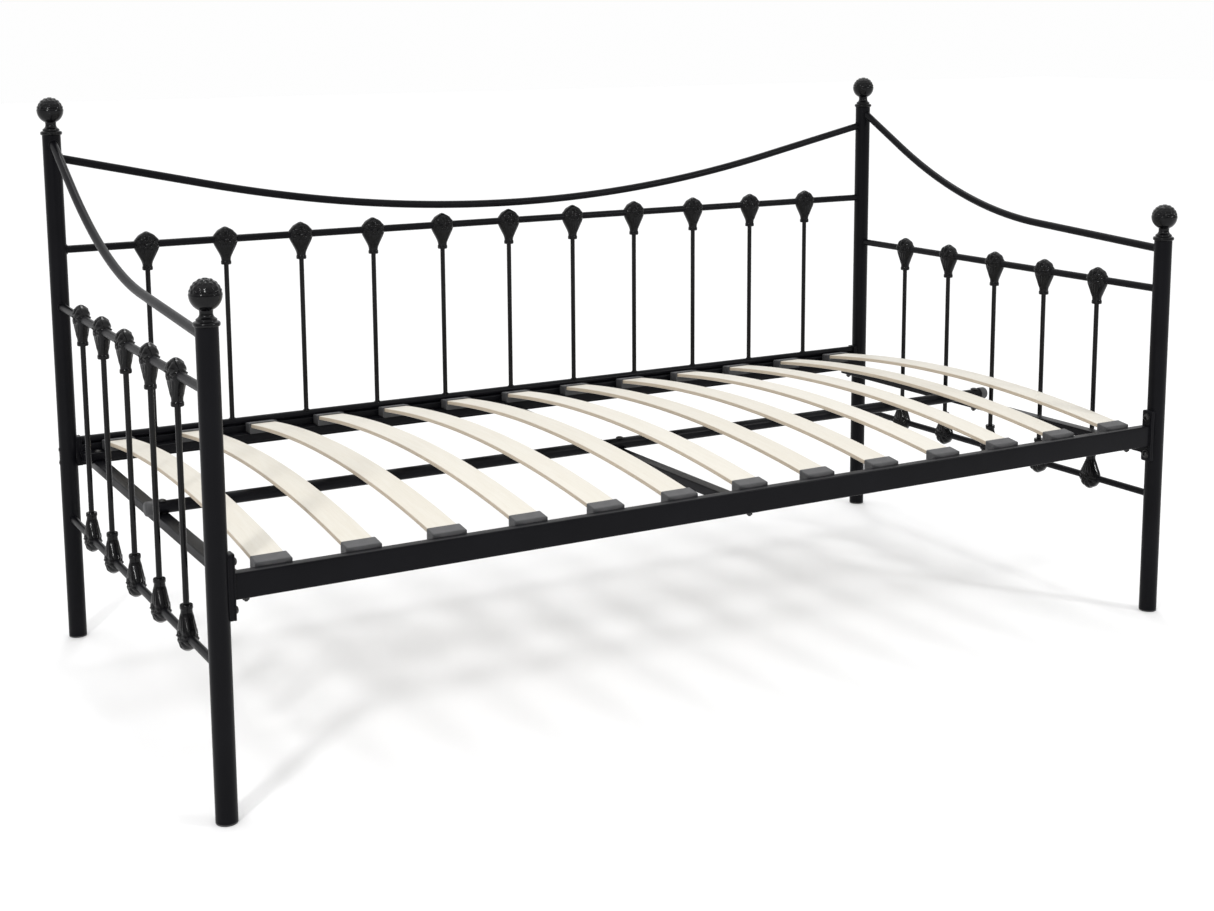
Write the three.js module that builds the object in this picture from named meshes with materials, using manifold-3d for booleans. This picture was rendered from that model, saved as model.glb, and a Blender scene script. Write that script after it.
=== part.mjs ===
// Single metal daybed, in millimetres, +Z up.
// The origin is on the floor, under the middle of the bed. +X runs along the bed, and +Y towards its back.
//
// Two end panels, a back panel and two side rails bolt together round four posts. The end and back panels
// are rails with thin upright spindles between them, and each spindle grips its rail through a casting.
// Sprung slats sit in pockets on the side rails, over a centre rail that lies on three cross bars.
import * as THREE from 'three';
import { mergeVertices } from 'three/addons/utils/BufferGeometryUtils.js';
import Module from 'manifold-3d';

const wasm = await Module();
wasm.setup();

// ---------------------------------------------------------------- driving dimensions
const POST_SPACING_LONG = 1970; // between post centres, along the bed
const POST_SPACING_DEEP = 970; // between post centres, front to back
const REAR_POST_HEIGHT = 1008; // tube only, without its finial
const FRONT_POST_HEIGHT = 773;
const POST_RADIUS = 17.5;
const POST_WALL = 1.5;
const FOOT_THICKNESS = 4; // closed bottom of each post

const GAP = 0.3; // play between pieces that touch

// Finial: a ball on a neck that rises from a collar, with a spigot inside the post.
const BALL_RADIUS = 25;
const BALL_CENTRE_ABOVE_POST = 47;
const COLLAR_RADIUS = 20.5;
const COLLAR_HEIGHT = 8;
const NECK_RADIUS = 9.5;
const SPIGOT_LENGTH = 22;

// Rails of the end and back panels, by height of their centre lines.
const CURVED_RAIL_RADIUS = 8;
const MIDDLE_RAIL_RADIUS = 7.5;
const LOWER_RAIL_RADIUS = 7;
const BACK_LOWER_RAIL_RADIUS = 8;
const BACK_LOWER_RAIL_SEAT = 0.8; // how far its weld sinks into the top of the rear side rail
const PANEL_RAIL_WALL = 1.2;
const BACK_TOP_RAIL = { end: 965, lowest: 824, slope: 0.22 };
const END_TOP_RAIL = { rear: 998, front: 754, rearSlope: 0.55, frontSlope: 0.06, bendReach: 235 };
const BACK_MIDDLE_RAIL_HEIGHT = 784;
const END_MIDDLE_RAIL_HEIGHT = 673;
const END_LOWER_RAIL_HEIGHT = 246;

// Spindles and their castings.
const SPINDLE_RADIUS = 5;
const BACK_SPINDLES = 11;
const BACK_SPINDLE_PITCH = 162;
const END_SPINDLES = 5;
const END_SPINDLE_PITCH = 156;
const CASTING_HALF_WIDTH = 27;
const CASTING_THICKNESS = 30;
const CASTING_EDGE = 5; // bevel round the front and back of a casting
const CASTING_RISE = 26; // above the rail's centre line
const CASTING_DROP = 52; // below it, to the end of the neck
const CASTING_NECK_RADIUS = 10.5;
const CASTING_NECK_HEIGHT = 10;

// Side rails: a box section with a ledge and a short lip inside it. The cross bars run under the lips.
const RAIL_TOP = 394;
const RAIL_HEIGHT = 42;
const RAIL_DEPTH = 20;
const RAIL_WALL = 1.5;
const RAIL_OUTSIDE = 8; // outer face, outside the line of the post centres
const LEDGE_DROP = 14; // from the top of the rail
const LEDGE_WIDTH = 28;
const LEDGE_THICKNESS = 2.5;
const LIP_HEIGHT = 16;

// Plates that join a side rail to its posts. The front ones stand above and below the rail, with a bolt
// at each end. The rear ones only close the end of the rail, and their bolts come through the post.
const PLATE_WIDTH = 24;
const FRONT_PLATE_HEIGHT = 105;
const FRONT_BOLT_OFFSET = 38; // above and below the middle of the rail
const FRONT_WING_DROP = 44; // how far the plate covers the end of the ledge, down from its top
const REAR_PLATE_MARGIN = 1; // past the rail and the tube on it
const REAR_BOLT_OFFSET = 13;
const POST_PLATE_THICKNESS = 4;
const RAIL_PLATE_THICKNESS = 3;
const BOLT_HOLE_RADIUS = 4.3;
const VENT_RADIUS = 5; // lets the closed box section drain

// Slats and the pockets that hold them.
const SLATS = 13;
const SLAT_PITCH = 148.5;
const SLAT_WIDTH = 53;
const SLAT_THICKNESS = 8;
const SLAT_RISE = 33; // how far the middle stands above the ends
const SLAT_END_HEIGHT = 389; // underside of a slat at its end
const POCKET_WIDTH = 60;
const POCKET_DEPTH = 27;
const POCKET_WALL = 2.5;

// Bars under the slats.
const CROSS_BAR_WIDTH = 25;
const CROSS_BAR_HEIGHT = 18;
const CROSS_BAR_WALL = 1.5;
const CROSS_BAR_INSET = 52; // end cross bars, from the line of the post centres
const CENTRE_RAIL_RADIUS = 11.5;
const CENTRE_RAIL_WALL = 1.2;
const CENTRE_RAIL_OVERHANG = 28; // past the middle of each end cross bar

// ---------------------------------------------------------------- derived places
const HALF_LONG = POST_SPACING_LONG / 2;
const HALF_DEEP = POST_SPACING_DEEP / 2;
const RAIL_INNER_FACE = HALF_DEEP + RAIL_OUTSIDE - RAIL_DEPTH;
const LEDGE_TOP = RAIL_TOP - LEDGE_DROP;
const LIP_FACE = RAIL_INNER_FACE - LEDGE_WIDTH;
const RAIL_MIDDLE = RAIL_TOP - RAIL_HEIGHT / 2;
const FRONT_PLATE = {
  low: RAIL_MIDDLE - FRONT_PLATE_HEIGHT / 2,
  high: RAIL_MIDDLE + FRONT_PLATE_HEIGHT / 2,
  boltOffset: FRONT_BOLT_OFFSET,
  wingDrop: FRONT_WING_DROP,
};
const PLATE_FACE = POST_RADIUS + POST_PLATE_THICKNESS; // from a post's centre line
const RAIL_HALF_LENGTH = HALF_LONG - PLATE_FACE - GAP;
const RAIL_CUT_LENGTH = 2 * (RAIL_HALF_LENGTH - RAIL_PLATE_THICKNESS - GAP); // without its end plates
const BACK_LOWER_RAIL_HEIGHT = RAIL_TOP + BACK_LOWER_RAIL_RADIUS - BACK_LOWER_RAIL_SEAT;
const REAR_PLATE = {
  low: RAIL_TOP - RAIL_HEIGHT - REAR_PLATE_MARGIN,
  high: BACK_LOWER_RAIL_HEIGHT + BACK_LOWER_RAIL_RADIUS + REAR_PLATE_MARGIN,
  boltOffset: REAR_BOLT_OFFSET,
  wingDrop: LIP_HEIGHT,
};
const SLAT_HALF_LENGTH = RAIL_INNER_FACE - POCKET_WALL - GAP;
const SLAT_END_SLOPE = (2 * SLAT_RISE) / SLAT_HALF_LENGTH;
const CROSS_BAR_TOP = LEDGE_TOP - LIP_HEIGHT - GAP;
const CENTRE_RAIL_HEIGHT = CROSS_BAR_TOP + GAP + CENTRE_RAIL_RADIUS;
const END_CROSS_BAR_X = HALF_LONG - CROSS_BAR_INSET;
const CENTRE_RAIL_HALF_LENGTH = END_CROSS_BAR_X + CENTRE_RAIL_OVERHANG;

// ---------------------------------------------------------------- finishes
const powderCoat = { color: 0x1a1a1c, roughness: 0.48, metalness: 0.35 };
const castMetal = { color: 0x121214, roughness: 0.3, metalness: 0.45 };
const birch = { color: 0xe9e0cd, roughness: 0.55, metalness: 0 };

const daybed = new THREE.Group();

function addPiece(name, geometry, finish, x = 0, y = 0, turn = 0) {
  const piece = new THREE.Mesh(geometry, new THREE.MeshStandardMaterial(finish));
  piece.name = name;
  piece.position.set(x, y, 0);
  piece.rotation.z = turn;
  daybed.add(piece);
}

// ---------------------------------------------------------------- solids
function solidOf(geometry) {
  const bare = geometry.clone();
  bare.deleteAttribute('normal');
  bare.deleteAttribute('uv');
  const merged = mergeVertices(bare);
  return new wasm.Manifold(
    new wasm.Mesh({
      numProp: 3,
      vertProperties: merged.getAttribute('position').array,
      triVerts: Uint32Array.from(merged.getIndex().array),
    }),
  );
}

function geometryOf(solid) {
  const mesh = solid.getMesh();
  const geometry = new THREE.BufferGeometry();
  geometry.setAttribute('position', new THREE.BufferAttribute(mesh.vertProperties, 3));
  geometry.setIndex(new THREE.BufferAttribute(mesh.triVerts, 1));
  geometry.computeVertexNormals();
  return geometry;
}

function join(...geometries) {
  return geometryOf(geometries.map(solidOf).reduce((whole, next) => whole.add(next)));
}

function cut(geometry, ...tools) {
  return geometryOf(tools.map(solidOf).reduce((rest, tool) => rest.subtract(tool), solidOf(geometry)));
}

// A regular polygon round the origin, as a closed path or a shape.
function ring(radius, sides, Kind = THREE.Shape) {
  const corners = [];
  for (let i = 0; i < sides; i += 1) {
    const angle = (2 * Math.PI * i) / sides;
    corners.push(new THREE.Vector2(radius * Math.cos(angle), radius * Math.sin(angle)));
  }
  return new Kind(corners);
}

// The radius at which a polygon's flats, and not its corners, touch a circle.
function clearRadius(radius, sides) {
  return radius / Math.cos(Math.PI / sides);
}

function tubeShape(radius, wall, sides) {
  const shape = ring(radius, sides);
  shape.holes.push(ring(radius - wall, sides, THREE.Path));
  return shape;
}

// A tube along a path, with open ends.
function bentTube(path, radius, wall, sides, steps) {
  return new THREE.ExtrudeGeometry(tubeShape(radius, wall, sides), { extrudePath: path, steps });
}

// A tube along X, with open ends.
function tubeAlongX(radius, wall, length, sides) {
  const section = tubeShape(radius, wall, sides);
  const tube = new THREE.ExtrudeGeometry(section, { depth: length, bevelEnabled: false });
  return tube.translate(0, 0, -length / 2).rotateY(Math.PI / 2);
}

function box(width, depth, height, x, y, z) {
  return new THREE.BoxGeometry(width, depth, height).translate(x, y, z);
}

function rodAlongX(radius, length, sides) {
  return new THREE.CylinderGeometry(radius, radius, length, sides).rotateZ(Math.PI / 2);
}

function rodUpright(radius, bottom, top, sides) {
  const rod = new THREE.CylinderGeometry(radius, radius, top - bottom, sides).rotateX(Math.PI / 2);
  return rod.translate(0, 0, (top + bottom) / 2);
}

// A profile of [radius, height] points turned round the Z axis, listed from the bottom up its outside.
function turned(profile, sides) {
  const points = profile.map(([radius, height]) => new THREE.Vector2(radius, height));
  return new THREE.LatheGeometry(points, sides).rotateX(Math.PI / 2);
}

// An outline of [depth, height] points in the YZ plane, as long as the given length along X.
function extrudedAlongX(outline, length, hole) {
  const shape = new THREE.Shape(outline.map(([y, z]) => new THREE.Vector2(y, z)));
  if (hole) {
    shape.holes.push(new THREE.Path(hole.map(([y, z]) => new THREE.Vector2(y, z))));
  }
  const bar = new THREE.ExtrudeGeometry(shape, { depth: length, bevelEnabled: false });
  return bar.translate(0, 0, -length / 2).rotateX(Math.PI / 2).rotateZ(Math.PI / 2);
}

// ---------------------------------------------------------------- posts and finials
const POST_SIDES = 20;

function plateBody(thickness, x, { low, high }) {
  return box(thickness, PLATE_WIDTH, high - low, x, 0, (low + high) / 2);
}

function boltHoles(length, x, { boltOffset }) {
  const hole = (z) => rodAlongX(BOLT_HOLE_RADIUS, length, 8).translate(x, 0, z);
  return [hole(RAIL_MIDDLE - boltOffset), hole(RAIL_MIDDLE + boltOffset)];
}

// A post with its corner plate on the side that faces the middle of the bed.
function postGeometry(height, plateSide, plate) {
  const inner = POST_RADIUS - POST_WALL;
  const profile = [
    [0, 0],
    [POST_RADIUS, 0],
    [POST_RADIUS, height],
    [inner, height],
    [inner, FOOT_THICKNESS],
    [0, FOOT_THICKNESS],
  ];
  const reach = PLATE_FACE - inner;
  const welded = join(turned(profile, POST_SIDES), plateBody(reach, plateSide * (inner + reach / 2), plate));
  const inside = rodUpright(inner, FOOT_THICKNESS, height, POST_SIDES);
  const nearWall = boltHoles(2 * reach + POST_RADIUS, plateSide * POST_RADIUS, plate);
  const bothWalls = boltHoles(4 * POST_RADIUS, 0, plate);
  return cut(welded, inside, ...(plate === REAR_PLATE ? bothWalls : nearWall));
}

function finialGeometry() {
  const spigotRadius = POST_RADIUS - POST_WALL - GAP;
  const profile = [
    [0, -SPIGOT_LENGTH],
    [spigotRadius, -SPIGOT_LENGTH],
    [spigotRadius, GAP],
    [COLLAR_RADIUS - 1.5, GAP],
    [COLLAR_RADIUS, COLLAR_HEIGHT / 2],
    [COLLAR_RADIUS - 1.5, COLLAR_HEIGHT],
    [NECK_RADIUS + 4, COLLAR_HEIGHT + 2.5],
    [NECK_RADIUS, COLLAR_HEIGHT + 8],
  ];
  const ballSteps = 7;
  const start = Math.acos(-Math.sqrt(1 - (NECK_RADIUS / BALL_RADIUS) ** 2));
  for (let i = 0; i < ballSteps; i += 1) {
    const angle = start * (1 - i / ballSteps);
    profile.push([BALL_RADIUS * Math.sin(angle), BALL_CENTRE_ABOVE_POST + BALL_RADIUS * Math.cos(angle)]);
  }
  profile.push([0, BALL_CENTRE_ABOVE_POST + BALL_RADIUS]);
  return turned(profile, 12);
}

const CORNERS = [
  { name: 'front_left', x: -HALF_LONG, y: -HALF_DEEP, height: FRONT_POST_HEIGHT, plate: FRONT_PLATE },
  { name: 'front_right', x: HALF_LONG, y: -HALF_DEEP, height: FRONT_POST_HEIGHT, plate: FRONT_PLATE },
  { name: 'rear_left', x: -HALF_LONG, y: HALF_DEEP, height: REAR_POST_HEIGHT, plate: REAR_PLATE },
  { name: 'rear_right', x: HALF_LONG, y: HALF_DEEP, height: REAR_POST_HEIGHT, plate: REAR_PLATE },
];

for (const { name, x, y, height, plate } of CORNERS) {
  addPiece(`post_${name}`, postGeometry(height, -Math.sign(x), plate), powderCoat, x, y);
  addPiece(`finial_${name}`, finialGeometry().translate(0, 0, height), castMetal, x, y);
}

// ---------------------------------------------------------------- panel rails
// What a rail's ends are cut with, so that they sit against the round posts.
function postCutters() {
  const radius = clearRadius(POST_RADIUS + GAP, POST_SIDES);
  const cutter = rodUpright(radius, -1, REAR_POST_HEIGHT + 1, POST_SIDES);
  return CORNERS.map(({ x, y }) => cutter.clone().translate(x, y, 0));
}

// Two straight legs joined by a soft bend, whose corner is where the legs would cross.
function bentPath(start, bendStart, corner, bendEnd, end) {
  const path = new THREE.CurvePath();
  path.add(new THREE.LineCurve3(start, bendStart));
  path.add(new THREE.QuadraticBezierCurve3(bendStart, corner, bendEnd));
  path.add(new THREE.LineCurve3(bendEnd, end));
  return path;
}

function backTopPath() {
  const { end, lowest, slope } = BACK_TOP_RAIL;
  const cornerHeight = end - slope * HALF_LONG;
  const bendHeight = 2 * lowest - cornerHeight;
  const bendX = HALF_LONG - (end - bendHeight) / slope;
  return bentPath(
    new THREE.Vector3(-HALF_LONG, HALF_DEEP, end),
    new THREE.Vector3(-bendX, HALF_DEEP, bendHeight),
    new THREE.Vector3(0, HALF_DEEP, cornerHeight),
    new THREE.Vector3(bendX, HALF_DEEP, bendHeight),
    new THREE.Vector3(HALF_LONG, HALF_DEEP, end),
  );
}

function endTopPath(x) {
  const { rear, front, rearSlope, frontSlope, bendReach } = END_TOP_RAIL;
  const cornerFromRear = (rear - front - frontSlope * POST_SPACING_DEEP) / (rearSlope - frontSlope);
  const cornerY = HALF_DEEP - cornerFromRear;
  const cornerHeight = rear - rearSlope * cornerFromRear;
  return bentPath(
    new THREE.Vector3(x, HALF_DEEP, rear),
    new THREE.Vector3(x, cornerY + bendReach, cornerHeight + rearSlope * bendReach),
    new THREE.Vector3(x, cornerY, cornerHeight),
    new THREE.Vector3(x, cornerY - bendReach, cornerHeight - frontSlope * bendReach),
    new THREE.Vector3(x, -HALF_DEEP, front),
  );
}

function betweenPosts(rail) {
  return cut(rail, ...postCutters());
}

function curvedRail(path, steps) {
  return betweenPosts(bentTube(path, CURVED_RAIL_RADIUS, PANEL_RAIL_WALL, 10, steps));
}

function straightRail(radius, length) {
  return tubeAlongX(radius, PANEL_RAIL_WALL, length, 12);
}

function backMiddleRail() {
  const rail = straightRail(MIDDLE_RAIL_RADIUS, POST_SPACING_LONG);
  return betweenPosts(rail.translate(0, HALF_DEEP, BACK_MIDDLE_RAIL_HEIGHT));
}

function straightEndRail(x, radius, height) {
  const rail = straightRail(radius, POST_SPACING_DEEP).rotateZ(Math.PI / 2);
  return betweenPosts(rail.translate(x, 0, height));
}

addPiece('back_top_rail', curvedRail(backTopPath(), 18), powderCoat);
addPiece('back_middle_rail', backMiddleRail(), powderCoat);
for (const [side, x] of [['left', -HALF_LONG], ['right', HALF_LONG]]) {
  const middle = straightEndRail(x, MIDDLE_RAIL_RADIUS, END_MIDDLE_RAIL_HEIGHT);
  const lower = straightEndRail(x, LOWER_RAIL_RADIUS, END_LOWER_RAIL_HEIGHT);
  addPiece(`end_top_rail_${side}`, curvedRail(endTopPath(x), 14), powderCoat);
  addPiece(`end_middle_rail_${side}`, middle, powderCoat);
  addPiece(`end_lower_rail_${side}`, lower, powderCoat);
}

// ---------------------------------------------------------------- spindles
// A shell-shaped casting round a rail that runs along X, with its neck pointing down.
function castingGeometry() {
  const rightSide = [
    [0, CASTING_RISE],
    [0.7 * CASTING_HALF_WIDTH, 0.75 * CASTING_RISE],
    [CASTING_HALF_WIDTH, 7],
    [0.85 * CASTING_HALF_WIDTH, -12],
    [CASTING_NECK_RADIUS, -CASTING_DROP + CASTING_NECK_HEIGHT],
  ];
  const leftSide = rightSide.slice(1).reverse().map(([x, z]) => [-x, z]);
  const outline = [...leftSide, ...rightSide].reverse().map(([x, z]) => new THREE.Vector2(x, z));
  const depth = CASTING_THICKNESS - 2 * CASTING_EDGE;
  const shell = new THREE.ExtrudeGeometry(new THREE.Shape(outline), {
    depth,
    bevelSize: CASTING_EDGE,
    bevelOffset: -CASTING_EDGE,
    bevelThickness: CASTING_EDGE,
    bevelSegments: 1,
  });
  shell.translate(0, 0, -depth / 2).rotateX(Math.PI / 2);
  const neckTop = -CASTING_DROP + 1.5 * CASTING_NECK_HEIGHT;
  return join(shell, rodUpright(CASTING_NECK_RADIUS, -CASTING_DROP, neckTop, 8));
}

function bore(railRadius, height, sides) {
  const length = 2 * CASTING_HALF_WIDTH + 2;
  return rodAlongX(clearRadius(railRadius + GAP, sides), length, sides).translate(0, 0, height);
}

// From the back panel's middle rail down to its lower rail.
function backSpindleGeometry() {
  const casting = castingGeometry().translate(0, 0, BACK_MIDDLE_RAIL_HEIGHT);
  const rodTop = BACK_MIDDLE_RAIL_HEIGHT - CASTING_DROP + 1;
  const rod = rodUpright(SPINDLE_RADIUS, BACK_LOWER_RAIL_HEIGHT, rodTop, 8);
  return cut(
    join(casting, rod),
    bore(MIDDLE_RAIL_RADIUS, BACK_MIDDLE_RAIL_HEIGHT, 12),
    bore(BACK_LOWER_RAIL_RADIUS, BACK_LOWER_RAIL_HEIGHT, 12),
  );
}

// Between the middle and lower rails of an end panel, with a casting at each end.
function endSpindleGeometry() {
  const upper = castingGeometry().translate(0, 0, END_MIDDLE_RAIL_HEIGHT);
  const lower = castingGeometry().rotateY(Math.PI).translate(0, 0, END_LOWER_RAIL_HEIGHT);
  const rodTop = END_MIDDLE_RAIL_HEIGHT - CASTING_DROP + 1;
  const rodBottom = END_LOWER_RAIL_HEIGHT + CASTING_DROP - 1;
  return cut(
    join(upper, lower, rodUpright(SPINDLE_RADIUS, rodBottom, rodTop, 8)),
    bore(MIDDLE_RAIL_RADIUS, END_MIDDLE_RAIL_HEIGHT, 12),
    bore(LOWER_RAIL_RADIUS, END_LOWER_RAIL_HEIGHT, 12),
  );
}

const middleOf = (count) => (count - 1) / 2;

const backSpindle = backSpindleGeometry();
for (let i = 0; i < BACK_SPINDLES; i += 1) {
  const x = (i - middleOf(BACK_SPINDLES)) * BACK_SPINDLE_PITCH;
  addPiece(`back_spindle_${i + 1}`, backSpindle, castMetal, x, HALF_DEEP);
}

const endSpindle = endSpindleGeometry();
for (const [side, x] of [['left', -HALF_LONG], ['right', HALF_LONG]]) {
  for (let i = 0; i < END_SPINDLES; i += 1) {
    const y = (i - middleOf(END_SPINDLES)) * END_SPINDLE_PITCH;
    addPiece(`${side}_end_spindle_${i + 1}`, endSpindle, castMetal, x, y, Math.PI / 2);
  }
}

// ---------------------------------------------------------------- slats
const slatX = (i) => (i - middleOf(SLATS)) * SLAT_PITCH;

// Height of a slat's underside, for a bow that is highest at the middle.
const slatUnderside = (y) => SLAT_END_HEIGHT + GAP + SLAT_RISE * (1 - (y / SLAT_HALF_LENGTH) ** 2);

function slatGeometry() {
  const steps = 12;
  const under = [];
  for (let i = 0; i <= steps; i += 1) {
    const y = SLAT_HALF_LENGTH * ((2 * i) / steps - 1);
    under.push([y, slatUnderside(y)]);
  }
  const over = under.map(([y, z]) => [y, z + SLAT_THICKNESS]).reverse();
  return extrudedAlongX([...under, ...over], SLAT_WIDTH);
}

const slat = slatGeometry();
for (let i = 0; i < SLATS; i += 1) {
  addPiece(`slat_${i + 1}`, slat, birch, slatX(i), 0);
}

// ---------------------------------------------------------------- side rails
// Outlines below are for the rear rail, and the front rail is the same one turned round.
function railSection() {
  const outer = HALF_DEEP + RAIL_OUTSIDE;
  const bottom = RAIL_TOP - RAIL_HEIGHT;
  const outline = [
    [outer, bottom],
    [outer, RAIL_TOP],
    [RAIL_INNER_FACE, RAIL_TOP],
    [RAIL_INNER_FACE, LEDGE_TOP],
    [LIP_FACE, LEDGE_TOP],
    [LIP_FACE, LEDGE_TOP - LIP_HEIGHT],
    [LIP_FACE + LEDGE_THICKNESS, LEDGE_TOP - LIP_HEIGHT],
    [LIP_FACE + LEDGE_THICKNESS, LEDGE_TOP - LEDGE_THICKNESS],
    [RAIL_INNER_FACE, LEDGE_TOP - LEDGE_THICKNESS],
    [RAIL_INNER_FACE, bottom],
  ];
  const hollow = [
    [outer - RAIL_WALL, bottom + RAIL_WALL],
    [RAIL_INNER_FACE + RAIL_WALL, bottom + RAIL_WALL],
    [RAIL_INNER_FACE + RAIL_WALL, RAIL_TOP - RAIL_WALL],
    [outer - RAIL_WALL, RAIL_TOP - RAIL_WALL],
  ];
  return extrudedAlongX(outline, RAIL_CUT_LENGTH, hollow);
}

// The pocket that holds one slat's rear end: a floor on the ledge, a back, and a roof over the slat.
function pocketGeometry(x) {
  const back = RAIL_INNER_FACE;
  const mouth = back - POCKET_DEPTH;
  const floorAtMouth = slatUnderside(mouth) - GAP;
  const floorAtBack = slatUnderside(SLAT_HALF_LENGTH) - GAP;
  const room = SLAT_THICKNESS + 2 * GAP;
  const roofDrop = SLAT_END_SLOPE * POCKET_WALL;
  const outline = [
    [back, LEDGE_TOP],
    [back, floorAtBack + room + POCKET_WALL],
    [back - POCKET_WALL, floorAtBack + room + POCKET_WALL + roofDrop],
    [mouth, floorAtMouth + room + POCKET_WALL],
    [mouth, floorAtMouth + room],
    [back - POCKET_WALL, floorAtBack + room],
    [back - POCKET_WALL, floorAtBack],
    [mouth, floorAtMouth],
    [mouth, LEDGE_TOP],
  ];
  return extrudedAlongX(outline, POCKET_WIDTH).translate(x, 0, 0);
}

function sideRailGeometry(...welded) {
  const pieces = [railSection(), ...welded];
  for (let i = 0; i < SLATS; i += 1) {
    pieces.push(pocketGeometry(slatX(i)));
  }
  return join(...pieces);
}

// The round tube that the back spindles stand on, welded along the top of the rear side rail.
function backLowerRail() {
  const tube = straightRail(BACK_LOWER_RAIL_RADIUS, RAIL_CUT_LENGTH);
  return tube.translate(0, HALF_DEEP, BACK_LOWER_RAIL_HEIGHT);
}

addPiece('side_rail_rear', sideRailGeometry(backLowerRail()), powderCoat);
addPiece('side_rail_front', sideRailGeometry(), powderCoat, 0, 0, Math.PI);

// ---------------------------------------------------------------- end plates of the side rails
// A plate for the right end of a rear rail, upright for the bolts, with a wing that covers the ledge's end.
function railPlateGeometry(plate) {
  const x = RAIL_HALF_LENGTH - RAIL_PLATE_THICKNESS / 2;
  const wingWidth = HALF_DEEP - LIP_FACE;
  const wingY = LIP_FACE + wingWidth / 2;
  const wingZ = LEDGE_TOP - plate.wingDrop / 2;
  const body = join(
    plateBody(RAIL_PLATE_THICKNESS, x, plate).translate(0, HALF_DEEP, 0),
    box(RAIL_PLATE_THICKNESS, wingWidth, plate.wingDrop, x, wingY, wingZ),
  );
  const length = 4 * RAIL_PLATE_THICKNESS;
  const holes = boltHoles(length, x, plate).map((hole) => hole.translate(0, HALF_DEEP, 0));
  const ventY = HALF_DEEP + RAIL_OUTSIDE - RAIL_DEPTH / 2;
  return cut(body, ...holes, rodAlongX(VENT_RADIUS, length, 8).translate(x, ventY, RAIL_MIDDLE));
}

// The left plate of each rail is the right one moved over, and the front rail's are turned round.
for (const [place, plate, turn, sides] of [
  ['rear', REAR_PLATE, 0, ['right', 'left']],
  ['front', FRONT_PLATE, Math.PI, ['left', 'right']],
]) {
  const first = railPlateGeometry(plate);
  const second = first.clone().translate(RAIL_PLATE_THICKNESS - 2 * RAIL_HALF_LENGTH, 0, 0);
  addPiece(`rail_plate_${place}_${sides[0]}`, first, powderCoat, 0, 0, turn);
  addPiece(`rail_plate_${place}_${sides[1]}`, second, powderCoat, 0, 0, turn);
}

// ---------------------------------------------------------------- bars under the slats
function crossBarGeometry() {
  const shape = (width, height) => {
    const right = width / 2;
    const top = height / 2;
    return [[-right, -top], [right, -top], [right, top], [-right, top]];
  };
  const section = shape(CROSS_BAR_WIDTH, CROSS_BAR_HEIGHT);
  const hollow = shape(CROSS_BAR_WIDTH - 2 * CROSS_BAR_WALL, CROSS_BAR_HEIGHT - 2 * CROSS_BAR_WALL);
  const bar = extrudedAlongX(section, 2 * (RAIL_INNER_FACE - GAP), hollow.reverse());
  return bar.rotateZ(Math.PI / 2).translate(0, 0, CROSS_BAR_TOP - CROSS_BAR_HEIGHT / 2);
}

for (const [place, x] of [['left', -END_CROSS_BAR_X], ['middle', 0], ['right', END_CROSS_BAR_X]]) {
  addPiece(`cross_bar_${place}`, crossBarGeometry(), powderCoat, x, 0);
}

const centreRail = tubeAlongX(CENTRE_RAIL_RADIUS, CENTRE_RAIL_WALL, 2 * CENTRE_RAIL_HALF_LENGTH, 16);
addPiece('centre_rail', centreRail.translate(0, 0, CENTRE_RAIL_HEIGHT), powderCoat);

export default daybed;
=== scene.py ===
"""A single black metal daybed: ball-topped posts, swept rails, spindle panels with castings, bowed slats."""
import math
import random

import bmesh
import bpy
from mathutils import Matrix, Vector


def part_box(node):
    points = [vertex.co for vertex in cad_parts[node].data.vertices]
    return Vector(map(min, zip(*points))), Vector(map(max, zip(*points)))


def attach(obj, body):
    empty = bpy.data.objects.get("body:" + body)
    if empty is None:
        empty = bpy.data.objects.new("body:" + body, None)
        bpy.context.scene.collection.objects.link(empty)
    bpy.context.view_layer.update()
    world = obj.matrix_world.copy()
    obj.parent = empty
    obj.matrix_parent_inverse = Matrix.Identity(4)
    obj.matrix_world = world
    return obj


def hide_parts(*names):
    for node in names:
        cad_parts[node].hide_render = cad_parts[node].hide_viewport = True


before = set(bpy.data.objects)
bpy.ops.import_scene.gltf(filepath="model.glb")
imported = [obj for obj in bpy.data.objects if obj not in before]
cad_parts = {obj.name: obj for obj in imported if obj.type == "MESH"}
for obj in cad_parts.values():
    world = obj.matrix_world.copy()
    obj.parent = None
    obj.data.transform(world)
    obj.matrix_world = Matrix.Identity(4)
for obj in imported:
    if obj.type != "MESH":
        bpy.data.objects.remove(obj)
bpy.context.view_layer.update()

BODY = "root"
X, Y, Z = Vector((1, 0, 0)), Vector((0, 1, 0)), Vector((0, 0, 1))

# ------------------------------------------------------------------ sizes, in metres
TUBE_SIDES = 32
POST_SIDES = 48
POST_WALL = 0.0015
FOOT_CAP = 0.003  # height of the flange under each post
CURVED_RAIL_RADIUS = 0.008
MIDDLE_RAIL_RADIUS = 0.0075
LOWER_RAIL_RADIUS = 0.007
SPINDLE_RADIUS = 0.005
BEAD = 0.0017  # radius of a weld bead
BEAD_RIPPLE = 0.0024  # from one ripple of a bead to the next

BACK_TOP_RAIL = {"end": 0.965, "lowest": 0.824, "slope": 0.22}
END_TOP_RAIL = {"rear": 0.998, "front": 0.754, "rear_slope": 0.55, "front_slope": 0.06, "reach": 0.235}

CASTING_RISE = 0.026  # top of a casting above its rail's centre line
CASTING_DROP = 0.052  # end of its neck below that line

RAIL_TOP = 0.394
RAIL_DEPTH = 0.020
RAIL_HEIGHT = 0.042
LEDGE_TOP = 0.380
LEDGE_THICKNESS = 0.0025
LIP_HEIGHT = 0.016
BACK_LOWER_RAIL_RADIUS = 0.008
RAIL_MIDDLE = RAIL_TOP - RAIL_HEIGHT / 2

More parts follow.
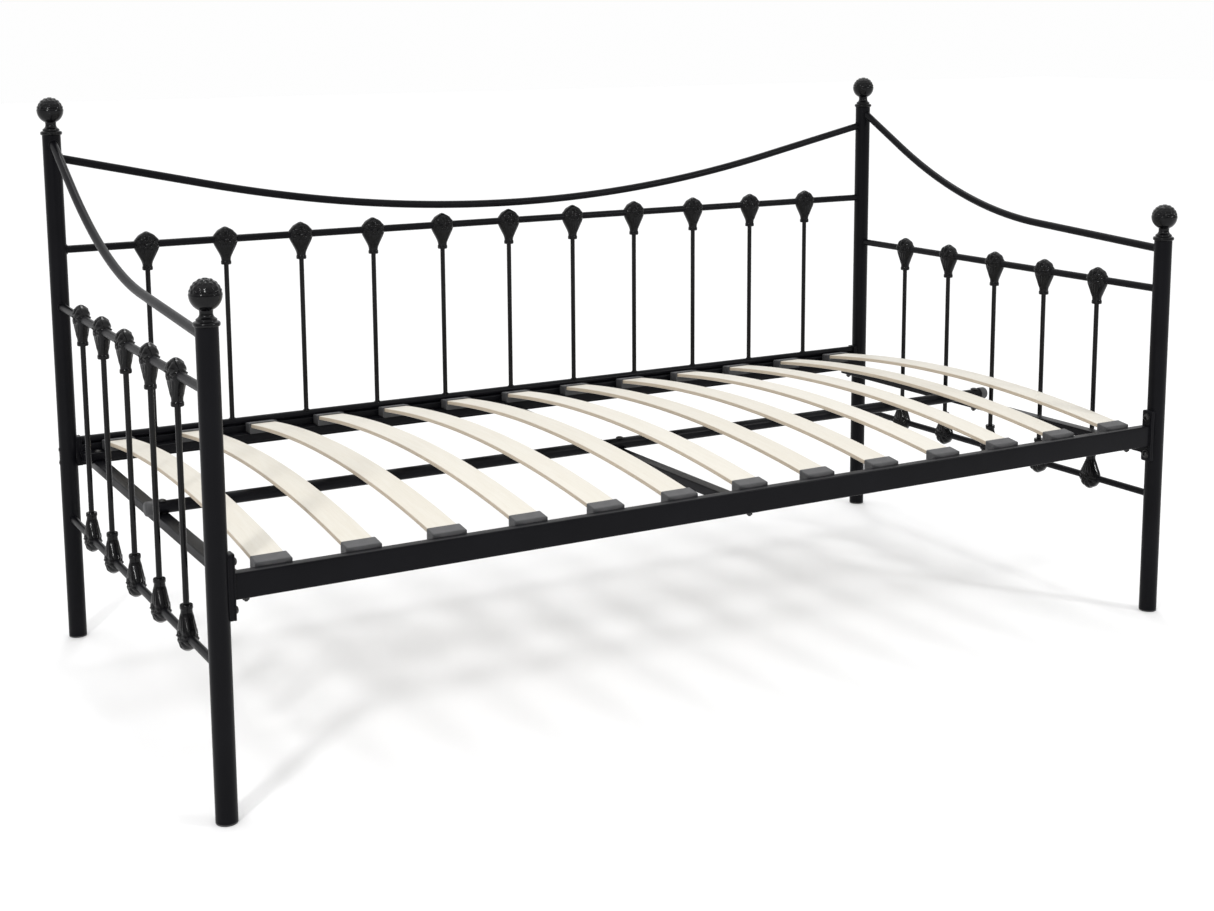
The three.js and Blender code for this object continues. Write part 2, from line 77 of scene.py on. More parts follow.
PLATE_WIDTH = 0.024
BOLT_OFFSET = {"front": 0.038, "rear": 0.013}  # of a corner bolt above and below the middle of the rail
WING_DROP = {"front": 0.044, "rear": 0.016}  # how far a rail's end plate covers the end of its ledge
BOLT_HOLE_RADIUS = 0.0043
VENT_RADIUS = 0.005

SLAT_THICKNESS = 0.008
POCKET_WIDTH = 0.060
POCKET_DEPTH = 0.027
POCKET_WALL = 0.0020
SLAT_PLAY = 0.0003

CENTRE_RAIL_WALL = 0.0012
CROSS_BAR_WALL = 0.0015

# ------------------------------------------------------------------ node trees


class Tree:
    """Short calls for wiring a node tree."""

    def __init__(self, owner):
        owner.use_nodes = True
        self.nodes = owner.node_tree.nodes
        self.links = owner.node_tree.links

    def set(self, node, inputs):
        for socket, value in inputs.items():
            if isinstance(value, bpy.types.NodeSocket):
                self.links.new(value, node.inputs[socket])
            else:
                node.inputs[socket].default_value = value
        return node

    def add(self, kind, inputs=None, **settings):
        node = self.nodes.new(kind)
        for name, value in settings.items():
            setattr(node, name, value)
        return self.set(node, inputs or {})

    def math(self, operation, first, second=0.0):
        return self.add("ShaderNodeMath", {0: first, 1: second}, operation=operation).outputs[0]

    def noise(self, vector, scale, detail=2.0, roughness=0.5):
        inputs = {"Vector": vector, "Scale": scale, "Detail": detail, "Roughness": roughness}
        return self.add("ShaderNodeTexNoise", inputs).outputs["Fac"]

    def span(self, value, low, high, to_low=0.0, to_high=1.0):
        inputs = {"Value": value, "From Min": low, "From Max": high, "To Min": to_low, "To Max": to_high}
        return self.add("ShaderNodeMapRange", inputs).outputs["Result"]

    def mix(self, factor, first, second):
        node = self.add("ShaderNodeMix", data_type="RGBA")
        for name, kind, value in (("Factor", "VALUE", factor), ("A", "RGBA", first), ("B", "RGBA", second)):
            socket = next(s for s in node.inputs if s.name == name and s.type == kind)
            if isinstance(value, bpy.types.NodeSocket):
                self.links.new(value, socket)
            else:
                socket.default_value = value
        return next(s for s in node.outputs if s.type == "RGBA")

    def bump(self, height, strength, distance, under=None):
        inputs = {"Height": height, "Strength": strength, "Distance": distance}
        if under is not None:
            inputs["Normal"] = under
        return self.add("ShaderNodeBump", inputs).outputs["Normal"]


def new_material(name, **uniform):
    material = bpy.data.materials.new(name)
    tree = Tree(material)
    shader = tree.nodes["Principled BSDF"]
    tree.set(shader, {socket.replace("_", " "): value for socket, value in uniform.items()})
    return material, tree, shader


def powder_coat():
    """Satin black powder coat: orange peel, finer grit, and slow changes of gloss and tone."""
    material, tree, shader = new_material("powder_coat", Specular_IOR_Level=0.08)
    place = tree.add("ShaderNodeTexCoord").outputs["Object"]
    slow = tree.noise(place, 9.0, 3.0)
    peel = tree.noise(place, 620.0, 2.0, 0.55)
    grit = tree.noise(place, 2400.0, 3.0, 0.6)
    tone = tree.mix(tree.span(slow, 0.3, 0.7), (0.0030, 0.0030, 0.0040, 1), (0.0046, 0.0046, 0.0060, 1))
    gloss = tree.span(tree.math("ADD", slow, tree.math("MULTIPLY", grit, 0.35)), 0.4, 0.95, 0.29, 0.38)
    waves = tree.bump(peel, 0.16, 0.0003)
    tree.set(shader, {"Base Color": tone, "Roughness": gloss, "Normal": tree.bump(grit, 0.12, 0.0001, waves)})
    return material


def cast_enamel():
    """Glossy black enamel over a casting: soft hollows, painted darker as shade, pinholes and small changes
    of tone.
    """
    coat = {"Coat_Weight": 0.14, "Coat_Roughness": 0.08}
    material, tree, shader = new_material("cast_enamel", Specular_IOR_Level=0.1, **coat)
    place = tree.add("ShaderNodeTexCoord").outputs["Object"]
    hollows_and_painted_shade = tree.noise(place, 240.0, 3.0, 0.55)
    grit = tree.noise(place, 1500.0, 3.0, 0.6)
    pinhole = tree.span(tree.noise(place, 900.0, 1.0), 0.68, 0.78)
    # The hollow noise also sets the tone, darker in the hollows of the bump: painted shade.
    tone = tree.mix(hollows_and_painted_shade, (0.0018, 0.0018, 0.0022, 1), (0.0038, 0.0038, 0.0043, 1))
    gloss = tree.span(grit, 0.3, 0.75, 0.14, 0.26)
    height = tree.math("SUBTRACT", tree.math("ADD", hollows_and_painted_shade, tree.math("MULTIPLY", grit, 0.2)), pinhole)
    tree.set(shader, {"Base Color": tone, "Roughness": gloss, "Normal": tree.bump(height, 0.42, 0.0006)})
    return material


def moulded_plastic():
    """Dark moulded plastic with a fine spark-eroded texture and faint flow marks."""
    material, tree, shader = new_material("moulded_plastic", Specular_IOR_Level=0.4)
    place = tree.add("ShaderNodeTexCoord").outputs["Object"]
    grain = tree.noise(place, 1800.0, 4.0, 0.65)
    flow = tree.noise(place, 60.0, 2.0)
    tone = tree.mix(tree.span(flow, 0.35, 0.65), (0.044, 0.044, 0.046, 1), (0.058, 0.058, 0.060, 1))
    gloss = tree.span(grain, 0.3, 0.7, 0.42, 0.58)
    tree.set(shader, {"Base Color": tone, "Roughness": gloss, "Normal": tree.bump(grain, 0.25, 0.0002)})
    return material


def blackened_steel():
    """Blackened steel of the bolts: oily, streaked and a little brighter where it is rubbed."""
    material, tree, shader = new_material("blackened_steel", Metallic=0.85)
    place = tree.add("ShaderNodeTexCoord").outputs["Object"]
    streak = tree.noise(place, 700.0, 4.0, 0.6)
    tone = tree.mix(tree.span(streak, 0.35, 0.7), (0.022, 0.022, 0.023, 1), (0.062, 0.060, 0.058, 1))
    gloss = tree.span(streak, 0.3, 0.7, 0.3, 0.46)
    tree.set(shader, {"Base Color": tone, "Roughness": gloss, "Normal": tree.bump(streak, 0.15, 0.0002)})
    return material


def birch():
    """Pale laminated birch. The grain attribute is the place across, along and through a slat."""
    material, tree, shader = new_material("birch", Specular_IOR_Level=0.35)
    place = tree.add("ShaderNodeAttribute", attribute_name="grain").outputs["Vector"]
    edge = tree.add("ShaderNodeAttribute", attribute_name="edge").outputs["Fac"]
    tint = tree.add("ShaderNodeAttribute", attribute_name="tint").outputs["Fac"]

    def stretched(across, along, through):
        inputs = {"Vector": place, "Scale": (across, along, through)}
        return tree.add("ShaderNodeMapping", inputs).outputs["Vector"]

    figure = tree.noise(stretched(26, 2.2, 26), 1.0, 3.0, 0.55)
    waves = tree.math("SINE", tree.math("MULTIPLY", figure, 46.0))
    fibre = tree.noise(stretched(900, 12, 900), 1.0, 4.0, 0.62)
    fleck = tree.span(tree.noise(stretched(1500, 60, 1500), 1.0, 2.0), 0.62, 0.74)
    pale = tree.mix(tint, (0.622, 0.594, 0.528, 1), (0.668, 0.643, 0.583, 1))
    warm = tree.mix(tint, (0.560, 0.516, 0.430, 1), (0.606, 0.570, 0.490, 1))
    soft = tree.math("MULTIPLY", tree.span(waves, -1.0, 1.0), 0.20)
    face = tree.mix(tree.math("ADD", soft, tree.span(fibre, 0.35, 0.75, 0.0, 0.42)), pale, warm)
    face = tree.mix(tree.math("MULTIPLY", fleck, 0.28), face, (0.40, 0.33, 0.24, 1))

    through = tree.add("ShaderNodeSeparateXYZ", {"Vector": place}).outputs["Z"]
    plies = tree.math("SINE", tree.math("MULTIPLY", through, 2 * math.pi / 0.0029))
    laminate = tree.mix(tree.span(plies, -0.5, 0.5), (0.42, 0.345, 0.255, 1), (0.56, 0.490, 0.390, 1))
    laminate = tree.mix(tree.span(fibre, 0.4, 0.8, 0.0, 0.5), laminate, (0.33, 0.265, 0.190, 1))
    colour = tree.mix(edge, face, laminate)
    height = tree.math("ADD", fibre, tree.math("MULTIPLY", tree.math("MULTIPLY", plies, edge), 0.4))
    gloss = tree.span(fibre, 0.3, 0.75, 0.46, 0.62)
    tree.set(shader, {"Base Color": colour, "Roughness": gloss, "Normal": tree.bump(height, 0.14, 0.0002)})
    return material


COAT = powder_coat()
ENAMEL = cast_enamel()
PLASTIC = moulded_plastic()
STEEL = blackened_steel()
BIRCH = birch()

# ------------------------------------------------------------------ outlines and rings


def circle(radius, sides=TUBE_SIDES):
    angles = [2 * math.pi * i / sides for i in range(sides)]
    return [(radius * math.cos(a), radius * math.sin(a)) for a in angles]


def rounded(corners, radius, steps=4):
    """A closed outline with its corners rounded, each as far as its edges allow."""
    points = []
    count = len(corners)
    for i in range(count):
        before, corner, after = (Vector(corners[(i + k) % count]) for k in (-1, 0, 1))
        reach = min(radius, (before - corner).length * 0.49, (after - corner).length * 0.49)
        start = corner + (before - corner).normalized() * reach
        end = corner + (after - corner).normalized() * reach
        for step in range(steps + 1):
            t = step / steps
            points.append(tuple((1 - t) ** 2 * start + 2 * t * (1 - t) * corner + t ** 2 * end))
    return points


def rectangle(width, height, radius, centre=(0.0, 0.0), steps=4):
    a, b = width / 2, height / 2
    x, y = centre
    corners = [(x - a, y - b), (x + a, y - b), (x + a, y + b), (x - a, y + b)]
    return rounded(corners, radius, steps)


def interpolate(table, at):
    """A value read from a falling table of (place, value) rows, in a straight line between two of them."""
    for (high, first), (low, second) in zip(table, table[1:]):
        if at >= low:
            t = min(max((high - at) / (high - low), 0.0), 1.0)
            return first + (second - first) * t
    return table[-1][1]


def smooth(low, high, value):
    t = min(max((value - low) / (high - low), 0.0), 1.0)
    return t * t * (3 - 2 * t)


def peak(centre, width, value):
    return math.exp(-((value - centre) / width) ** 2)


def swept(path, section, side):
    """Rings of a section carried along a path in the plane square to side."""
    rings = []
    last = len(path) - 1
    for i, point in enumerate(path):
        along = (path[min(i + 1, last)] - path[max(i - 1, 0)]).normalized()
        up = side.cross(along)
        rings.append([point + side * a + up * b for a, b in section])
    return rings


def turned(profile, sides=POST_SIDES):
    """Rings of a [radius, height] profile turned round Z. A radius of nought makes a pole."""
    rings = []
    for radius, height in profile:
        ring = circle(radius, sides) if radius > 0 else [(0.0, 0.0)]
        rings.append([Vector((x, y, height)) for x, y in ring])
    return rings


def loft(bm, rings, looped=False, matrix=None, capped=True):
    """Skins a run of rings with the same number of points. A ring of one point makes a pole."""
    if matrix is not None:
        rings = [[matrix @ point for point in ring] for ring in rings]
    rows = [[bm.verts.new(point) for point in ring] for ring in rings]
    pairs = list(zip(rows, rows[1:]))
    if looped:
        pairs.append((rows[-1], rows[0]))
    for low, high in pairs:
        count = max(len(low), len(high))
        for i in range(count):
            j = (i + 1) % count
            if len(low) == 1:
                bm.faces.new((low[0], high[i], high[j]))
            elif len(high) == 1:
                bm.faces.new((low[i], low[j], high[0]))
            else:
                bm.faces.new((low[i], low[j], high[j], high[i]))
    if capped and not looped:
        for row in (rows[0], rows[-1]):
            if len(row) > 1:
                bm.faces.new(row)
    return rows


def bead(bm, line, outward, looped=True, size=BEAD):
    """A rippled weld bead along a line of points; outward gives the side that each point swells to."""
    rings = []
    count = len(line)
    run = 0.0
    for i, point in enumerate(line):
        after = line[(i + 1) % count] if looped else line[min(i + 1, count - 1)]
        before = line[i - 1] if looped or i > 0 else line[0]
        along = (after - before).normalized()
        out = outward(point)
        out = (out - along * out.dot(along)).normalized()
        across = along.cross(out)
        swell = size * (1 + 0.22 * math.cos(2 * math.pi * run / BEAD_RIPPLE))
        if not looped:
            swell *= 0.35 + 0.65 * min(1.0, 4 * min(i, count - 1 - i) / count)
        rings.append([point + out * a + across * b for a, b in circle(swell, 8)])
        run += (after - point).length
    loft(bm, rings, looped=looped)


def flat_plate(bm, outline, holes, thickness, edge, matrix):
    """A flat plate in its own XY plane, with rounded edges, moved into place by a matrix."""
    curve = bpy.data.curves.new("plate_outline", "CURVE")
    curve.dimensions = "2D"
    curve.fill_mode = "BOTH"
    curve.extrude = thickness / 2 - edge
    curve.bevel_depth = edge
    curve.bevel_resolution = 1
    curve.offset = -edge
    for loop in [outline, *holes]:
        spline = curve.splines.new("POLY")
        spline.points.add(len(loop) - 1)
        for point, (x, y) in zip(spline.points, loop):
            point.co = (x, y, 0, 1)
        spline.use_cyclic_u = True
    holder = bpy.data.objects.new("plate_outline", curve)
    bpy.context.scene.collection.objects.link(holder)
    mesh = bpy.data.meshes.new_from_object(holder.evaluated_get(bpy.context.evaluated_depsgraph_get()))
    mesh.transform(matrix)
    bm.from_mesh(mesh)
    bpy.data.objects.remove(holder)
    bpy.data.curves.remove(curve)
    bpy.data.meshes.remove(mesh)


def finished(name, bm, material, sharp=38):
    """Turns a bmesh into a mesh with outward faces, smooth but for its sharp edges."""
    bmesh.ops.remove_doubles(bm, verts=bm.verts, dist=0.00001)
    bmesh.ops.recalc_face_normals(bm, faces=bm.faces)
    limit = math.radians(sharp)
    for face in bm.faces:
        face.smooth = True
    for edge in bm.edges:
        edge.smooth = len(edge.link_faces) == 2 and edge.calc_face_angle() < limit
    mesh = bpy.data.meshes.new(name)
    bm.to_mesh(mesh)
    bm.free()
    mesh.materials.append(material)
    return mesh


def place(name, mesh, nodes=(), at=(0, 0, 0), turn=0.0):
    piece = bpy.data.objects.new(name, mesh)
    piece.location = at
    piece.rotation_euler = (0, 0, turn)
    bpy.context.scene.collection.objects.link(piece)
    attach(piece, BODY)
    if nodes:
        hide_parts(*nodes)
    return piece


def middle(node):
    low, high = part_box(node)
    return (low + high) / 2


# A matrix that takes a plate's own X, Y and Z to the row's Y, Z and X.
UPRIGHT = Matrix(((0, 0, 1, 0), (1, 0, 0, 0), (0, 1, 0, 0), (0, 0, 0, 1)))

# ------------------------------------------------------------------ posts
CORNERS = ("front_left", "front_right", "rear_left", "rear_right")
POST_AXIS = {corner: Vector((*middle(f"finial_{corner}").xy, 0)) for corner in CORNERS}
POST_TOP = {corner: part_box(f"post_{corner}")[1].z for corner in CORNERS}
POST_RADIUS = (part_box("post_front_left")[1].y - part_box("post_front_left")[0].y) / 2


def row_of(corner):
    return corner.split("_")[0]


def plate_heights(corner):
    low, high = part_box(f"rail_plate_{corner}")
    return low.z, high.z


def bolt_heights(corner):
    offset = BOLT_OFFSET[row_of(corner)]
    return RAIL_MIDDLE - offset, RAIL_MIDDLE + offset


def bolt_holes(corner, across=0.0):
    ring = circle(BOLT_HOLE_RADIUS, 20)
    return [[(x + across, y + height) for x, y in ring] for height in bolt_heights(corner)]


def make_post(corner):
    """A tube with the plate that takes the side rail, welded on along both its sides."""
    axis = POST_AXIS[corner]
    inward = -math.copysign(1, axis.x)
    top = POST_TOP[corner]
    inner = POST_RADIUS - POST_WALL
    rim = 0.0005
    profile = [
        (POST_RADIUS - rim, FOOT_CAP), (POST_RADIUS, FOOT_CAP + rim), (POST_RADIUS, top - rim),
        (POST_RADIUS - rim, top), (inner + rim, top), (inner, top - rim), (inner, FOOT_CAP),
    ]
    bm = bmesh.new()
    loft(bm, turned(profile), looped=True, matrix=Matrix.Translation(axis))

    low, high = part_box(f"post_{corner}")
    face = high.x if inward > 0 else low.x
    root = axis.x + inward * (POST_RADIUS - 0.004)
    plate_low, plate_high = plate_heights(corner)
    outline = rectangle(PLATE_WIDTH, plate_high - plate_low, 0.005, (0, (plate_low + plate_high) / 2))
    centre = Matrix.Translation(((face + root) / 2, axis.y, 0))
    flat_plate(bm, outline, bolt_holes(corner), abs(face - root), 0.0006, centre @ UPRIGHT)

    reach = math.sqrt(POST_RADIUS ** 2 - (PLATE_WIDTH / 2) ** 2) + 0.0008
    steps = 60
    for side in (-1, 1):
        beside = axis.y + side * (PLATE_WIDTH / 2 + 0.0002)
        start = Vector((axis.x + inward * reach, beside, plate_low + 0.006))
        rise = plate_high - plate_low - 0.012
        line = [start + Z * (rise * i / steps) for i in range(steps + 1)]
        bead(bm, line, lambda point, s=side: Vector((inward, s, 0)), looped=False)
    place(f"post_{corner}_tube", finished("post", bm, COAT), [f"post_{corner}"])


def make_foot(corner):
    """A plastic cap pushed into the foot of a post, with a rounded flange and ribs round its plug."""
    flange = [
        (0, 0.0006), (0.008, 0.0006), (0.009, 0.0), (POST_RADIUS - 0.002, 0.0),
        (POST_RADIUS - 0.0006, 0.0005), (POST_RADIUS, 0.0016),
        (POST_RADIUS - 0.0002, FOOT_CAP - 0.0002), (POST_RADIUS - POST_WALL, FOOT_CAP),
    ]
    plug_radius, rib_radius, plug_top = 0.0146, 0.0157, 0.019
    plug = []
    for rib in range(4):
        height = 0.004 + 0.0035 * rib
        plug += [(plug_radius, height), (rib_radius, height + 0.0012), (plug_radius, height + 0.0024)]
    profile = [*flange, *plug, (plug_radius, plug_top), (0, plug_top)]
    bm = bmesh.new()
    loft(bm, turned(profile), matrix=Matrix.Translation(POST_AXIS[corner]))
    place(f"foot_cap_{corner}", finished("foot_cap", bm, PLASTIC))


for corner in CORNERS:
    make_post(corner)
    make_foot(corner)

# ------------------------------------------------------------------ finials
BALL_RADIUS = 0.025
BALL_HEIGHT = 0.047  # of the ball's centre above the post
FINIAL_SIDES = 112
LEAF_ROWS = ((24, 8), (42, 12), (60, 14), (75, 16))  # angle from the top of the ball, and leaves in the row


def ball_relief(polar, turn):
    """How far the pattern stands out of the ball, by the angle from its top and round it, in degrees."""
    relief = 0.0009 * (1 - smooth(8, 12, polar)) - 0.0009 * (1 - smooth(81, 87, polar))
    for row, (angle, count) in enumerate(LEAF_ROWS):
        lobe = 0.5 + 0.5 * math.cos(math.radians(count * turn + 180 * row))
        relief += 0.0011 * lobe ** 1.3 * peak(angle, 6.5, polar)
    return relief + 0.0003 * peak(91, 1.8, polar)


def make_finial_mesh():
    """A ball with a leafy upper half, on a waisted neck and a grooved collar."""
    foot = [
        (0, 0.0), (0.0190, 0.0), (0.0201, 0.0009), (0.0205, 0.0028), (0.0204, 0.0048), (0.0196, 0.0064),
        (0.0180, 0.0072), (0.0162, 0.0076), (0.0156, 0.0084), (0.0160, 0.0094), (0.0159, 0.0106),
        (0.0148, 0.0117), (0.0129, 0.0130), (0.0113, 0.0148), (0.0104, 0.0170), (0.0101, 0.0196),
        (0.0103, 0.0222),
    ]
    rings = turned(foot, FINIAL_SIDES)
    start = 180 - math.degrees(math.asin(0.0106 / BALL_RADIUS))
    steps = 84
    for row in range(steps):
        polar = start * (1 - row / steps)
        ring = []
        for i in range(FINIAL_SIDES):
            turn = 360 * i / FINIAL_SIDES
            radius = BALL_RADIUS + ball_relief(polar, turn)
            flat = radius * math.sin(math.radians(polar))
            height = BALL_HEIGHT + radius * math.cos(math.radians(polar))
            angle = math.radians(turn)
            ring.append(Vector((flat * math.cos(angle), flat * math.sin(angle), height)))
        rings.append(ring)
    rings.append([Vector((0, 0, BALL_HEIGHT + BALL_RADIUS))])
    bm = bmesh.new()
    loft(bm, rings)
    return finished("finial", bm, ENAMEL, sharp=60)


finial_mesh = make_finial_mesh()
for corner in CORNERS:
    at = POST_AXIS[corner] + Z * POST_TOP[corner]
    place(f"finial_{corner}_ball", finial_mesh, [f"finial_{corner}"], at)

# ------------------------------------------------------------------ panel rails


def bent_path(start, bend_start, corner, bend_end, end, steps=56):
    """Two straight legs joined by a soft bend."""
    path = [start + (bend_start - start) * t for t in (0, 0.12, 0.5)]
    for i in range(steps + 1):
        t = i / steps
        path.append((1 - t) ** 2 * bend_start + 2 * t * (1 - t) * corner + t ** 2 * bend_end)
    return path + [bend_end + (end - bend_end) * t for t in (0.5, 0.88, 1)]


def back_top_path():
    half = POST_AXIS["rear_right"].x
    back = POST_AXIS["rear_right"].y
    end, lowest, slope = (BACK_TOP_RAIL[key] for key in ("end", "lowest", "slope"))
    corner_height = end - slope * half
    bend_height = 2 * lowest - corner_height
    bend_x = half - (end - bend_height) / slope
    return bent_path(
        Vector((-half, back, end)), Vector((-bend_x, back, bend_height)), Vector((0, back, corner_height)),
        Vector((bend_x, back, bend_height)), Vector((half, back, end)),
    )


def end_top_path(side):
    front, rear = POST_AXIS[f"front_{side}"], POST_AXIS[f"rear_{side}"]
    rail = END_TOP_RAIL
    fall = rail["rear"] - rail["front"] - rail["front_slope"] * (rear.y - front.y)
    from_rear = fall / (rail["rear_slope"] - rail["front_slope"])
    corner = Vector((rear.x, rear.y - from_rear, rail["rear"] - rail["rear_slope"] * from_rear))
    bend_start = corner + Vector((0, rail["reach"], rail["rear_slope"] * rail["reach"]))
    bend_end = corner - Vector((0, rail["reach"], rail["front_slope"] * rail["reach"]))
    return bent_path(rear + Z * rail["rear"], bend_start, corner, bend_end, front + Z * rail["front"])


def straight_path(start, end):
    return [start + (end - start) * t for t in (0, 0.12, 0.5, 0.88, 1)]


def meet_post(point, along, axis):
    """Where a line along a rail reaches the round face of a post."""
    offset = (point - axis).xy
    heading = along.xy
    square = heading.dot(heading)
    toward = offset.dot(heading)
    root = math.sqrt(max(toward ** 2 - square * (offset.dot(offset) - POST_RADIUS ** 2), 0.0))
    return point - along * ((toward + root) / square)


def make_rail(name, path, radius, side, nodes):
    """A tube that runs from post to post, with saddle-cut ends and a weld bead round each."""
    bm = bmesh.new()
    ends = [(path[0], path[1] - path[0]), (path[-1], path[-2] - path[-1])]
    rings = swept(path, circle(radius), side)
    for ring, (axis, inward) in ((rings[0], ends[0]), (rings[-1], ends[1])):
        along = -inward.normalized()
        ring[:] = [meet_post(point + inward, along, axis) for point in ring]
    loft(bm, rings)
    for axis, inward in ends:
        along = -inward.normalized()
        up = side.cross(along)
        centre = axis + inward
        line = [meet_post(centre + side * a + up * b, along, axis) for a, b in circle(radius + 0.0005, 96)]
        bead(bm, line, lambda point, c=centre, a=along: (point - c) - a * (point - c).dot(a))
    place(name, finished(name, bm, COAT), nodes)


make_rail("back_top_tube", back_top_path(), CURVED_RAIL_RADIUS, Y, ["back_top_rail"])
height = middle("back_middle_rail").z
path = straight_path(POST_AXIS["rear_left"] + Z * height, POST_AXIS["rear_right"] + Z * height)
make_rail("back_middle_tube", path, MIDDLE_RAIL_RADIUS, Y, ["back_middle_rail"])
for side in ("left", "right"):
    make_rail(f"end_top_tube_{side}", end_top_path(side), CURVED_RAIL_RADIUS, X, [f"end_top_rail_{side}"])
    for level, radius in (("middle", MIDDLE_RAIL_RADIUS), ("lower", LOWER_RAIL_RADIUS)):
        height = middle(f"end_{level}_rail_{side}").z
        path = straight_path(POST_AXIS[f"front_{side}"] + Z * height, POST_AXIS[f"rear_{side}"] + Z * height)
        make_rail(f"end_{level}_tube_{side}", path, radius, X, [f"end_{level}_rail_{side}"])

# ------------------------------------------------------------------ spindles
# Half width of a casting by height above its rail, in metres: a dome that tapers to a neck with a collar.
CASTING_OUTLINE = [
    (0.0260, 0.0000), (0.0252, 0.0030), (0.0236, 0.0066), (0.0212, 0.0108), (0.0180, 0.0156),
    (0.0142, 0.0198), (0.0100, 0.0232), (0.0055, 0.0256), (0.0010, 0.0268), (-0.0030, 0.0266),
    (-0.0080, 0.0250), (-0.0140, 0.0222), (-0.0210, 0.0184), (-0.0280, 0.0146), (-0.0340, 0.0117),
    (-0.0390, 0.0101), (-0.0440, 0.0096), (-0.0450, 0.0102), (-0.0462, 0.0106), (-0.0508, 0.0106),
    (-0.0520, 0.0099),
]
# Half depth by height: a shell over the rail that closes to a round neck.
CASTING_DEPTH = [
    (0.0260, 0.0000), (0.0250, 0.0042), (0.0225, 0.0074), (0.0180, 0.0099), (0.0100, 0.0119),
    (0.0000, 0.0129), (-0.0080, 0.0133), (-0.0160, 0.0126), (-0.0250, 0.0111), (-0.0340, 0.0099),
    (-0.0440, 0.0094), (-0.0450, 0.0102), (-0.0462, 0.0106), (-0.0508, 0.0106), (-0.0520, 0.0099),
]
CASTING_ROWS = 116
CASTING_SIDES = 112
SCALLOP = 0.0007  # depth of the small waves round the dome


def casting_relief(x, z):
    """How far a casting's pattern stands out of its face: petals, scrolls, a boss, and flutes below."""
    fan = math.degrees(math.atan2(x, z + 0.004))
    away = math.hypot(x, z + 0.004)
    lobes = abs(math.cos(math.pi * fan / 36)) if abs(fan) < 90 else 0.0
    petals = 0.0032 * lobes ** 0.8 * smooth(0.010, 0.014, away) * smooth(-0.001, 0.004, z)
    petals *= 1 - smooth(0.017, 0.025, z)
    from_scroll = min(math.hypot(x - side * 0.0170, z + 0.0010) for side in (-1, 1))
    scrolls = 0.0022 * peak(0.0036, 0.0015, from_scroll) + 0.0014 * peak(0, 0.0014, from_scroll)
    from_boss = math.hypot(x, z + 0.001)
    boss = 0.0036 * peak(0, 0.0038, from_boss) + 0.0026 * peak(0.0078, 0.0012, from_boss)
    below = smooth(0.007, 0.012, -z) * (1 - smooth(0.032, 0.040, -z))
    pitch = 0.0028 + 0.0046 * smooth(-0.040, -0.008, z)
    flutes = 0.0011 * below * (0.5 + 0.5 * math.cos(2 * math.pi * x / pitch))
    return petals + scrolls + boss + flutes


def casting_rings(rail_height, upward=1):
    """Rings of a casting over a rail, from its crown to the end of its neck."""
    rings = []
    for row in range(CASTING_ROWS + 1):
        t = row / CASTING_ROWS
        z = CASTING_RISE - (CASTING_RISE + CASTING_DROP) * (0.35 * t * t + 0.65 * t)
        width = interpolate(CASTING_OUTLINE, z)
        depth = interpolate(CASTING_DEPTH, z)
        if row == 0:
            rings.append([Vector((0, 0, rail_height + upward * z))])
            continue
        fan = math.atan2(width, z)
        width += SCALLOP * (abs(math.cos(5 * fan)) - 0.5) * smooth(-0.002, 0.002, z)
        square = 0.88 + 0.12 * smooth(0.030, 0.040, -z)
        ring = []
        for i in range(CASTING_SIDES):
            angle = 2 * math.pi * i / CASTING_SIDES
            c, s = math.cos(angle), math.sin(angle)
            x = width * math.copysign(abs(c) ** square, c)
            flat = abs(s) ** square
            out = depth * flat + casting_relief(x, z) * abs(s) ** 0.6
            y = math.copysign(out, s) if abs(s) > 1e-6 else 0.0
            ring.append(Vector((x, y, rail_height + upward * z)))
        rings.append(ring)
    return rings


def rod(bm, low, high):
    loft(bm, turned([(SPINDLE_RADIUS, low), (SPINDLE_RADIUS, high)], 24))


def foot_weld(bm, height):
    """A bead round the foot of a spindle, over the crown of the rail it stands on."""
    line = []
    for x, y in circle(SPINDLE_RADIUS + 0.0004, 64):
        drop = BACK_LOWER_RAIL_RADIUS - math.sqrt(BACK_LOWER_RAIL_RADIUS ** 2 - y ** 2)
        line.append(Vector((x, y, height - drop)))
    bead(bm, line, lambda point: Vector((point.x, point.y, 0)), size=0.0014)


REAR_RAIL_LOW, REAR_RAIL_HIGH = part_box("side_rail_rear")
BACK_RAIL = middle("back_middle_rail").z
END_RAIL = middle("end_middle_rail_left").z
END_LOWER_RAIL = middle("end_lower_rail_left").z


def back_spindle_mesh():
    bm = bmesh.new()
    loft(bm, casting_rings(BACK_RAIL))
    rod(bm, REAR_RAIL_HIGH.z - 0.002, BACK_RAIL - CASTING_DROP + 0.004)
    foot_weld(bm, REAR_RAIL_HIGH.z)
    return finished("back_spindle", bm, ENAMEL, sharp=55)


def end_spindle_mesh():
    bm = bmesh.new()
    loft(bm, casting_rings(END_RAIL))
    loft(bm, casting_rings(END_LOWER_RAIL, upward=-1))
    rod(bm, END_LOWER_RAIL + CASTING_DROP - 0.004, END_RAIL - CASTING_DROP + 0.004)
    return finished("end_spindle", bm, ENAMEL, sharp=55)


back_mesh = back_spindle_mesh()
end_mesh = end_spindle_mesh()
for node in sorted(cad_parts):
    if "spindle" not in node:
        continue
    at = Vector((*middle(node).xy, 0))
    if node.startswith("back"):
        place(f"{node}_cast", back_mesh, [node], at)
    else:
        place(f"{node}_cast", end_mesh, [node], at, math.pi / 2)

# ------------------------------------------------------------------ slats
SLAT_NODES = sorted((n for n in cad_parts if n.startswith("slat_")), key=lambda n: int(n.split("_")[1]))
SLAT_LOW, SLAT_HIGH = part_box(SLAT_NODES[0])
SLAT_HALF = SLAT_HIGH.y
SLAT_WIDTH = SLAT_HIGH.x - SLAT_LOW.x
SLAT_RISE = SLAT_HIGH.z - SLAT_LOW.z - SLAT_THICKNESS


def slat_under(y):
    return SLAT_LOW.z + SLAT_RISE * (1 - (y / SLAT_HALF) ** 2)


